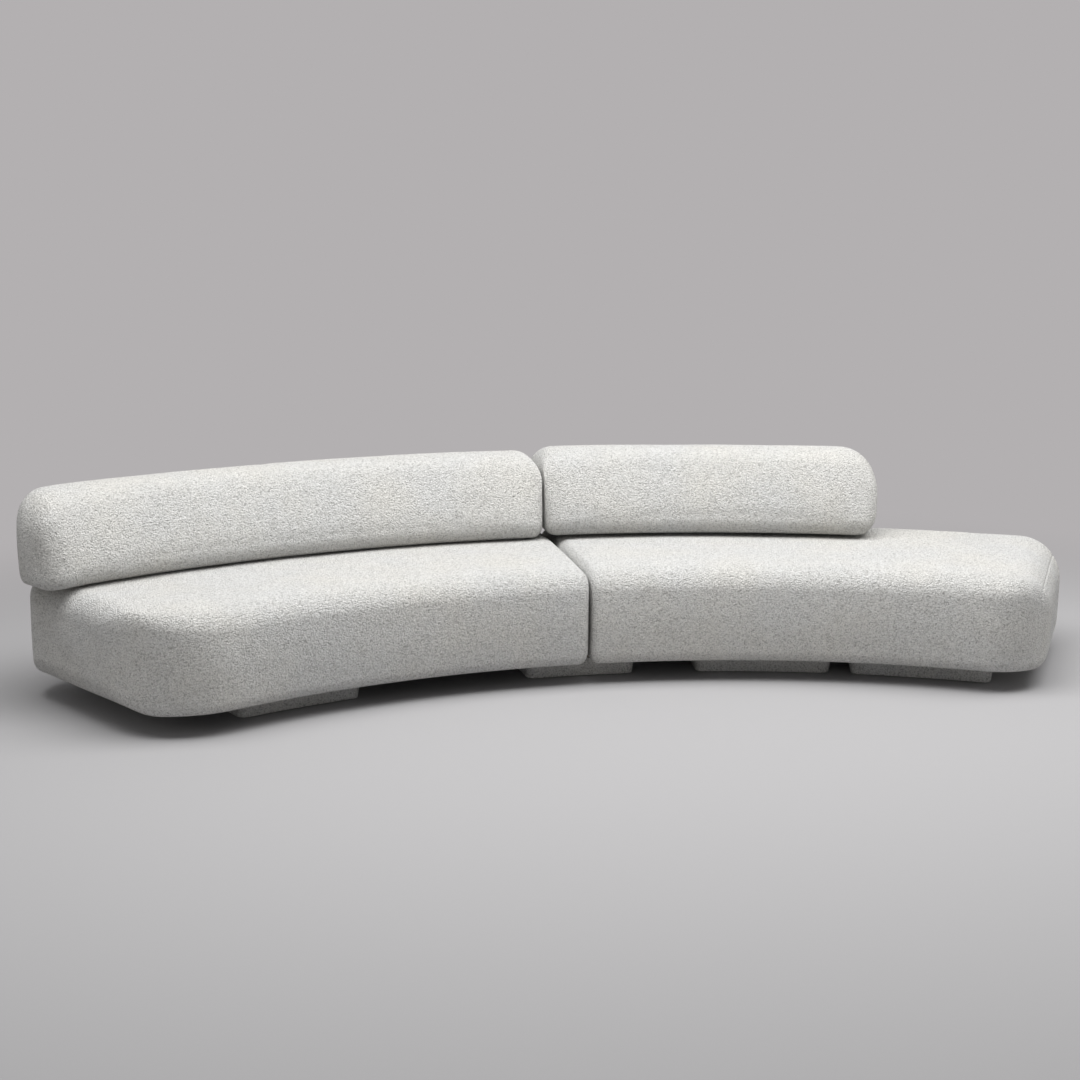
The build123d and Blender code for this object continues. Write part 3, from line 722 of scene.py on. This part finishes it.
def boucle():
    """Looped wool cloth: pale loops of mixed greys with dark flecks, and painted shade between the loops, where
    the colour darkens as the loops meet.
    """
    material, tree, shader = new_material("boucle")
    coords = tree.nodes.new("ShaderNodeTexCoord").outputs["Object"]
    stir = add_node(tree, "ShaderNodeTexNoise", Vector=coords, Scale=STIR_SCALE, Detail=2.0)
    bend = calc(tree, "ShaderNodeVectorMath", "MULTIPLY", stir.outputs["Color"], (LOOP_WANDER,) * 3)
    wander = calc(tree, "ShaderNodeVectorMath", "ADD", coords, bend)
    loops = add_node(tree, "ShaderNodeTexVoronoi", Vector=wander, Scale=LOOP_SCALE)
    tone = tree.nodes.new("ShaderNodeSeparateColor")
    tree.links.new(loops.outputs["Color"], tone.inputs[0])
    yarn = ramp(tree, tone.outputs[0], [
        (0.0, (0.46, 0.452, 0.434)), (0.18, (0.66, 0.652, 0.632)), (0.36, (0.81, 0.802, 0.780)),
        (0.70, (0.86, 0.852, 0.830)), (1.0, (0.90, 0.893, 0.872)),
    ])
    # Painted shade: the yarn colour darkens towards the edges of each loop, where the shadow between the loops
    # falls.
    between = ramp(tree, loops.outputs["Distance"], [(0.30, (1, 1, 1)), (0.75, (0.74, 0.74, 0.74))])
    yarn_with_painted_shade = multiply_colors(tree, yarn, between)
    patches = add_node(tree, "ShaderNodeTexNoise", Vector=coords, Scale=PATCH_SCALE, Detail=3.0)
    warmth = ramp(tree, patches.outputs["Fac"], [(0.35, (0.97, 0.975, 0.98)), (0.65, (1.0, 0.99, 0.965))])
    tree.links.new(multiply_colors(tree, yarn_with_painted_shade, warmth), shader.inputs["Base Color"])
    fuzz = add_node(tree, "ShaderNodeTexNoise", Vector=coords, Scale=HAIR_SCALE, Detail=2.0)
    rounds = calc(tree, "ShaderNodeMath", "SUBTRACT", 1.0, loops.outputs["Distance"])
    hairs = calc(tree, "ShaderNodeMath", "MULTIPLY_ADD", fuzz.outputs["Fac"], HAIR_SHARE, rounds)
    clumps = add_node(tree, "ShaderNodeTexNoise", Vector=coords, Scale=CLUMP_SCALE, Detail=1.0)
    hills = calc(tree, "ShaderNodeMath", "MULTIPLY_ADD", clumps.outputs["Fac"], CLUMP_SHARE, hairs)
    bump = add_node(tree, "ShaderNodeBump", Strength=1.0, Distance=LOOP_HEIGHT, Height=hills)
    tree.links.new(bump.outputs["Normal"], shader.inputs["Normal"])
    rough = ramp(tree, loops.outputs["Distance"], [(0.0, (0.86, 0.86, 0.86)), (0.8, (0.98, 0.98, 0.98))])
    tree.links.new(rough, shader.inputs["Roughness"])
    shader.inputs["Specular IOR Level"].default_value = 0.18
    shader.inputs["Sheen Weight"].default_value = 0.12
    shader.inputs["Sheen Roughness"].default_value = 0.6
    return material


def grained(name, dark, light, scale, detail, relief, height, roughness):
    """Dark finish with a fine grain: powder coat or moulded nylon."""
    material, tree, shader = new_material(name)
    coords = tree.nodes.new("ShaderNodeTexCoord").outputs["Object"]
    grain = add_node(tree, "ShaderNodeTexNoise", Vector=coords, Scale=scale, Detail=detail)
    tone = ramp(tree, grain.outputs["Fac"], [(0.3, dark), (0.7, light)])
    tree.links.new(tone, shader.inputs["Base Color"])
    bump = add_node(tree, "ShaderNodeBump", Strength=relief, Distance=height, Height=grain.outputs["Fac"])
    tree.links.new(bump.outputs["Normal"], shader.inputs["Normal"])
    shader.inputs["Roughness"].default_value = roughness
    return material


def zinc():
    """Zinc plate with a faint brushed streak."""
    material, tree, shader = new_material("zinc")
    coords = tree.nodes.new("ShaderNodeTexCoord").outputs["Object"]
    streak = add_node(tree, "ShaderNodeTexNoise", Vector=coords, Scale=420.0, Detail=3.0)
    tone = ramp(tree, streak.outputs["Fac"], [(0.3, (0.52, 0.52, 0.53)), (0.7, (0.68, 0.68, 0.69))])
    tree.links.new(tone, shader.inputs["Base Color"])
    rough = ramp(tree, streak.outputs["Fac"], [(0.3, (0.3, 0.3, 0.3)), (0.7, (0.45, 0.45, 0.45))])
    tree.links.new(rough, shader.inputs["Roughness"])
    shader.inputs["Metallic"].default_value = 1.0
    return material


def plywood():
    """Birch plywood: pale face grain and darker glue lines on the edges."""
    material, tree, shader = new_material("plywood")
    coords = tree.nodes.new("ShaderNodeTexCoord").outputs["Object"]
    stretch = tree.nodes.new("ShaderNodeMapping")
    stretch.inputs["Scale"].default_value = (6.0, 60.0, 6.0)
    tree.links.new(coords, stretch.inputs["Vector"])
    grain = add_node(tree, "ShaderNodeTexNoise", Vector=stretch.outputs[0], Scale=3.0, Detail=5.0,
                     Distortion=0.6)
    plies = add_node(tree, "ShaderNodeTexWave", Vector=coords, Scale=210.0, Distortion=0.4)
    plies.bands_direction = "Z"
    face = ramp(tree, grain.outputs["Fac"], [(0.3, (0.50, 0.36, 0.22)), (0.7, (0.70, 0.55, 0.37))])
    glue = ramp(tree, plies.outputs["Fac"], [(0.2, (0.72, 0.66, 0.6)), (0.5, (1, 1, 1))])
    tree.links.new(multiply_colors(tree, face, glue, 0.7), shader.inputs["Base Color"])
    shader.inputs["Roughness"].default_value = 0.6
    return material


def cloth_tape(name, light, dark, threads):
    """Woven tape or lining: crossed threads in two close tones."""
    material, tree, shader = new_material(name)
    coords = tree.nodes.new("ShaderNodeTexCoord").outputs["Object"]
    along = add_node(tree, "ShaderNodeTexWave", Vector=coords, Scale=threads)
    across = add_node(tree, "ShaderNodeTexWave", Vector=coords, Scale=threads)
    across.bands_direction = "Y"
    weave = calc(tree, "ShaderNodeMath", "MULTIPLY", along.outputs["Fac"], across.outputs["Fac"])
    tree.links.new(ramp(tree, weave, [(0.0, dark), (1.0, light)]), shader.inputs["Base Color"])
    bump = add_node(tree, "ShaderNodeBump", Strength=0.4, Distance=0.0005, Height=weave)
    tree.links.new(bump.outputs["Normal"], shader.inputs["Normal"])
    shader.inputs["Roughness"].default_value = 0.9
    return material


def foam():
    """Open-cell foam."""
    material, tree, shader = new_material("foam")
    coords = tree.nodes.new("ShaderNodeTexCoord").outputs["Object"]
    cells = add_node(tree, "ShaderNodeTexVoronoi", Vector=coords, Scale=700.0)
    tone = ramp(tree, cells.outputs["Distance"], [(0.1, (0.9, 0.86, 0.7)), (0.7, (0.72, 0.66, 0.48))])
    tree.links.new(tone, shader.inputs["Base Color"])
    shader.inputs["Roughness"].default_value = 0.95
    return material


# Finishes of the CAD solids
cloth = boucle()
finishes = {
    "boucle": cloth,
    "foam": foam(),
    "plywood": plywood(),
    "webbing": cloth_tape("webbing", (0.24, 0.23, 0.21), (0.12, 0.115, 0.11), 300.0),
    "dust_cloth": cloth_tape("dust_cloth", (0.06, 0.06, 0.065), (0.03, 0.03, 0.033), 420.0),
    "steel": grained("powder_coat", (0.045, 0.045, 0.048), (0.075, 0.075, 0.08), scale=900.0, detail=2.0,
                     relief=0.25, height=0.0004, roughness=0.42),
    "zinc_steel": zinc(),
    "nylon": grained("nylon", (0.05, 0.05, 0.055), (0.085, 0.085, 0.09), scale=700.0, detail=1.0,
                     relief=0.2, height=0.0003, roughness=0.55),
}
for subpart in frame["record"]["subparts"]:
    solid = frame["nodes"][subpart["node"]]
    solid.data.materials.clear()
    solid.data.materials.append(finishes[subpart["material_slot"]])


def seat_block(side, first, last):
    """Block with the form of a seat's CAD cover."""
    span = ring_extent(f"{side}_seat_cover")
    edges = Edges(SEAT_TOP_EDGE, SEAT_BOTTOM_EDGE)
    return Soft(span.inner + SEAT_BULGE, span.outer - SEAT_BULGE, span.bottom, span.top - SEAT_CROWN,
                span.start, span.end, first, last, edges, SEAT_CROWN, SEAT_BULGE, 0.0)


def back_block(side, first, last):
    """Block with the form of a back's CAD cover, whose front leans."""
    span = ring_extent(f"{side}_back_cover")
    edges = Edges(BACK_TOP_EDGE, BACK_BOTTOM_EDGE)
    return Soft(span.inner, span.outer - BACK_BULGE, span.bottom, span.top - BACK_CROWN,
                span.start, span.end, first, last, edges, BACK_CROWN, BACK_BULGE, BACK_LEAN)


def post_slot(side):
    """Span of the slot that the posts of one back run through."""
    posts = ring_extent(f"{side}_carriage_posts")
    low, high = slides[f"{side}_back_slide"]["range_deg"]
    room = math.degrees(SLOT_ROOM / posts.outer)
    track = ring_extent(f"{side}_seat_track")
    return Extent(posts.inner - SLOT_ROOM, posts.outer + SLOT_ROOM, posts.start + low - room,
                  posts.end + high + room, track.top, track.top)


# Padded pieces, with the openings that the posts need
left_slot = post_slot("left")
right_slot = post_slot("right")
left_seat = Padding(seat_block("left", SEAT_JOINT_END, LEFT_SEAT_END), slot=left_slot)
right_seat = Padding(
    seat_block("right", RIGHT_SEAT_END, SEAT_JOINT_END),
    end_seams=[("first", FREE_END_SEAM)],
    top_seams=[SEAT_TOP_SEAM],
    slot=right_slot,
)
left_back = Padding(back_block("left", BACK_INNER_END, LEFT_BACK_END), panel_seams=[LEFT_BACK_SEAM])
right_back = Padding(back_block("right", RIGHT_BACK_END, BACK_INNER_END))

left_piece = upholster("left_seat", "left_module", left_seat, cloth)
right_piece = upholster("right_seat", "right_module", right_seat, cloth)
left_rest = upholster("left_back", "left_back", left_back, cloth)
right_rest = upholster("right_back", "right_back", right_back, cloth)
cut_slot(left_piece, left_seat, left_slot.bottom)
cut_slot(right_piece, right_seat, right_slot.bottom)
open_sockets(left_rest, "left")
open_sockets(right_rest, "right")

# Feet in cloth
for foot, body in FOOT_BODIES.items():
    wrap_foot(foot, body, cloth)


def seen_rays(tree):
    """One where a ray shows the background to the viewer: straight, mirrored or through glass."""
    path = tree.nodes.new("ShaderNodeLightPath")
    straight = path.outputs["Is Camera Ray"]
    mirrored = calc(tree, "ShaderNodeMath", "MAXIMUM", straight, path.outputs["Is Glossy Ray"])
    return calc(tree, "ShaderNodeMath", "MAXIMUM", mirrored, path.outputs["Is Transmission Ray"])


def mix_shaders(tree, factor, first, second, output):
    mix = tree.nodes.new("ShaderNodeMixShader")
    tree.links.new(factor, mix.inputs[0])
    tree.links.new(first, mix.inputs[1])
    tree.links.new(second, mix.inputs[2])
    tree.links.new(mix.outputs[0], output.inputs["Surface"])


def make_floor():
    """Pale floor that fades into the background away from the sofa."""
    mesh = bpy.data.meshes.new("floor")
    half = FLOOR_SIZE / 2
    corners = [(-half, -half, 0), (half, -half, 0), (half, half, 0), (-half, half, 0)]
    mesh.from_pydata(corners, [], [(0, 1, 2, 3)])
    floor = link("floor", mesh)
    material, tree, shader = new_material("floor")
    shader.inputs["Base Color"].default_value = (*FLOOR_COLOR, 1)
    shader.inputs["Roughness"].default_value = 0.8
    shader.inputs["Specular IOR Level"].default_value = 0.2
    coords = tree.nodes.new("ShaderNodeTexCoord").outputs["Object"]
    away = tree.nodes.new("ShaderNodeVectorMath")
    away.operation = "DISTANCE"
    tree.links.new(coords, away.inputs[0])
    away.inputs[1].default_value = FADE_CENTRE
    fade = tree.nodes.new("ShaderNodeMapRange")
    fade.interpolation_type = "SMOOTHSTEP"
    fade.inputs["From Min"].default_value = FADE_START
    fade.inputs["From Max"].default_value = FADE_END
    tree.links.new(away.outputs["Value"], fade.inputs["Value"])
    share = calc(tree, "ShaderNodeMath", "MULTIPLY", fade.outputs["Result"], seen_rays(tree))
    wall = add_node(tree, "ShaderNodeEmission", Color=(*WALL_COLOR, 1), Strength=1.0)
    mix_shaders(tree, share, shader.outputs[0], wall.outputs[0], tree.nodes["Material Output"])
    mesh.materials.append(material)


def make_light():
    """One wide soft lamp overhead and an even dim surround."""
    lamp = bpy.data.lights.new("overhead", "AREA")
    lamp.shape = "RECTANGLE"
    lamp.size, lamp.size_y = LAMP_SIZE
    lamp.energy = LAMP_POWER
    holder = bpy.data.objects.new("overhead", lamp)
    holder.location = LAMP_PLACE
    bpy.context.scene.collection.objects.link(holder)
    world = bpy.data.worlds.new("studio")
    world.use_nodes = True
    tree = world.node_tree
    surround = tree.nodes["Background"]
    surround.inputs["Color"].default_value = (1, 1, 1, 1)
    surround.inputs["Strength"].default_value = WORLD_STRENGTH
    wall = add_node(tree, "ShaderNodeBackground", Color=(*WALL_COLOR, 1), Strength=1.0)
    mix_shaders(tree, seen_rays(tree), surround.outputs[0], wall.outputs[0], tree.nodes["World Output"])
    bpy.context.scene.world = world


def make_camera():
    """Camera at the photograph's place, turned by its heading, pitch and roll."""
    heading = math.radians(CAMERA_HEADING)
    pitch = math.radians(CAMERA_PITCH)
    roll = math.radians(CAMERA_ROLL)
    level = math.cos(pitch)
    ahead = Vector((math.sin(heading) * level, math.cos(heading) * level, -math.sin(pitch)))
    right = Vector((math.cos(heading), -math.sin(heading), 0))
    up = right.cross(ahead)
    across = right * math.cos(roll) - up * math.sin(roll)
    upward = right * math.sin(roll) + up * math.cos(roll)
    data = bpy.data.cameras.new("camera")
    data.sensor_fit = "HORIZONTAL"
    data.lens = CAMERA_LENS
    camera = bpy.data.objects.new("camera", data)
    turn = Matrix((across, upward, -ahead)).transposed()
    place = CAMERA_FROM_AXIS + Vector((ring_axis.x, ring_axis.y, 0))
    camera.matrix_world = Matrix.Translation(place) @ turn.to_4x4()
    bpy.context.scene.collection.objects.link(camera)
    bpy.context.scene.camera = camera


# Surroundings and view
make_floor()
make_light()
make_camera()
bpy.context.scene.view_settings.view_transform = "Standard"
